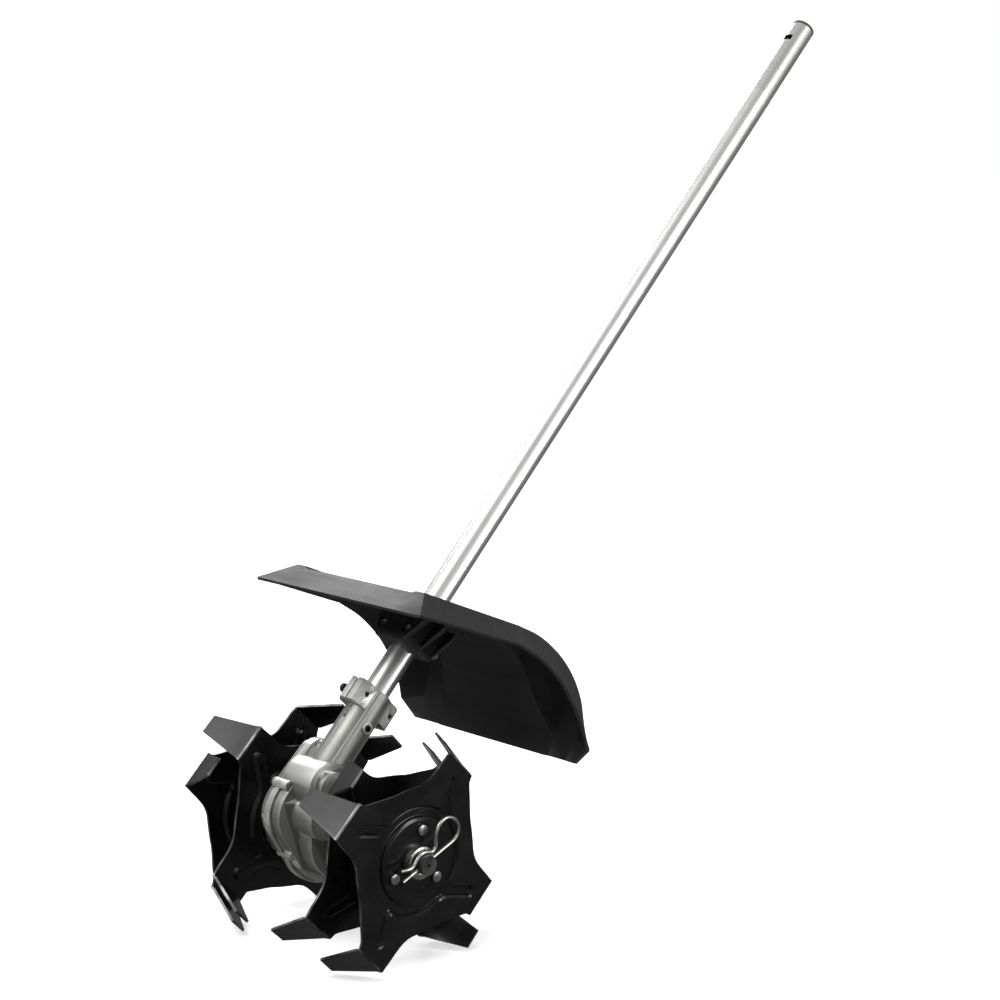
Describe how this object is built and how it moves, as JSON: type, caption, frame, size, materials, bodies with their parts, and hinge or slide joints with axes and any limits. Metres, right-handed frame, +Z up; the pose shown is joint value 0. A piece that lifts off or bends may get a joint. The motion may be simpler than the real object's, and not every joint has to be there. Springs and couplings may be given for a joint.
{
  "type": "tiller attachment",
  "caption": "Tiller attachment: bent-armed digging discs on a geared cross axle under a moulded guard, on a straight boom tube that clamps into a power head.",
  "frame": {"origin": "centre of the boom's top end, where it slides into the power head", "axes": "+Z up, +X along the tine axle, +Y towards the operator; the boom leans back in its working pose"},
  "size_m": [0.269, 0.7775, 0.8656],
  "materials": {
    "boom_aluminium": "satin silver anodised",
    "black_plastic": "fine-grained black moulding",
    "bush_plastic": "natural nylon",
    "cast_aluminium": "blasted die casting",
    "black_steel": "black oxide",
    "zinc_steel": "bright zinc plate",
    "shaft_steel": "ground steel",
    "seal_rubber": "matt",
    "tine_paint": "semi-gloss black paint"
  },
  "bodies": {
    "boom_and_case": {"boom_tube": "boom_aluminium", "boom_end_bush": "black_plastic", "shaft_bush_upper": "bush_plastic", "shaft_bush_middle": "bush_plastic", "shaft_bush_lower": "bush_plastic", "guard": "black_plastic", "guard_clamp": "black_plastic", "guard_screws": "zinc_steel", "guard_nuts": "zinc_steel", "gearcase_housing": "cast_aluminium", "gearcase_cover": "cast_aluminium", "cover_screws": "black_steel", "neck_clamp_screws": "black_steel", "neck_set_screw": "black_steel", "pinion_bearing_lower": "shaft_steel", "pinion_bearing_upper": "shaft_steel", "upper_bearing_right": "shaft_steel", "upper_bearing_left": "shaft_steel", "middle_bearing_right": "shaft_steel", "middle_bearing_left": "shaft_steel", "axle_bearing_right": "shaft_steel", "axle_bearing_left": "shaft_steel", "axle_seal_right": "seal_rubber", "axle_seal_left": "seal_rubber"},
    "input_drive": {"drive_shaft": "shaft_steel", "bevel_pinion": "shaft_steel"},
    "upper_cross_shaft": {"upper_shaft": "shaft_steel", "bevel_gear": "shaft_steel"},
    "middle_cross_shaft": {"middle_shaft": "shaft_steel", "middle_gear": "shaft_steel"},
    "tine_assembly": {"tine_axle": "shaft_steel", "output_gear": "shaft_steel", "tine_outer_right": "tine_paint", "tine_inner_right": "tine_paint", "tine_inner_left": "tine_paint", "tine_outer_left": "tine_paint", "tine_hub_right": "zinc_steel", "tine_hub_left": "zinc_steel", "tine_rivets_outer_right": "zinc_steel", "tine_rivets_inner_right": "zinc_steel", "tine_rivets_inner_left": "zinc_steel", "tine_rivets_outer_left": "zinc_steel", "axle_clip_right": "zinc_steel", "axle_clip_left": "zinc_steel"}
  },
  "joints": [
    {"name": "tine_spin", "type": "hinge", "parent": "boom_and_case", "child": "tine_assembly", "pos_m": [0, -0.66702, -0.75524], "axis": [1, 0, 0], "continuous": true},
    {"name": "middle_spin", "type": "hinge", "parent": "boom_and_case", "child": "middle_cross_shaft", "pos_m": [0, -0.69734, -0.73191], "axis": [1, 0, 0], "continuous": true},
    {"name": "upper_spin", "type": "hinge", "parent": "boom_and_case", "child": "upper_cross_shaft", "pos_m": [0, -0.69054, -0.70269], "axis": [1, 0, 0], "continuous": true},
    {"name": "drive_spin", "type": "hinge", "parent": "boom_and_case", "child": "input_drive", "pos_m": [0, -0.3548, -0.36105], "axis": [0, 0.7009, 0.7133], "continuous": true}
  ],
  "couplings": [
    {"joint": "middle_spin", "follows": "tine_spin", "ratio": -3.6364},
    {"joint": "upper_spin", "follows": "tine_spin", "ratio": 13.818},
    {"joint": "drive_spin", "follows": "tine_spin", "ratio": -27.636}
  ]
}
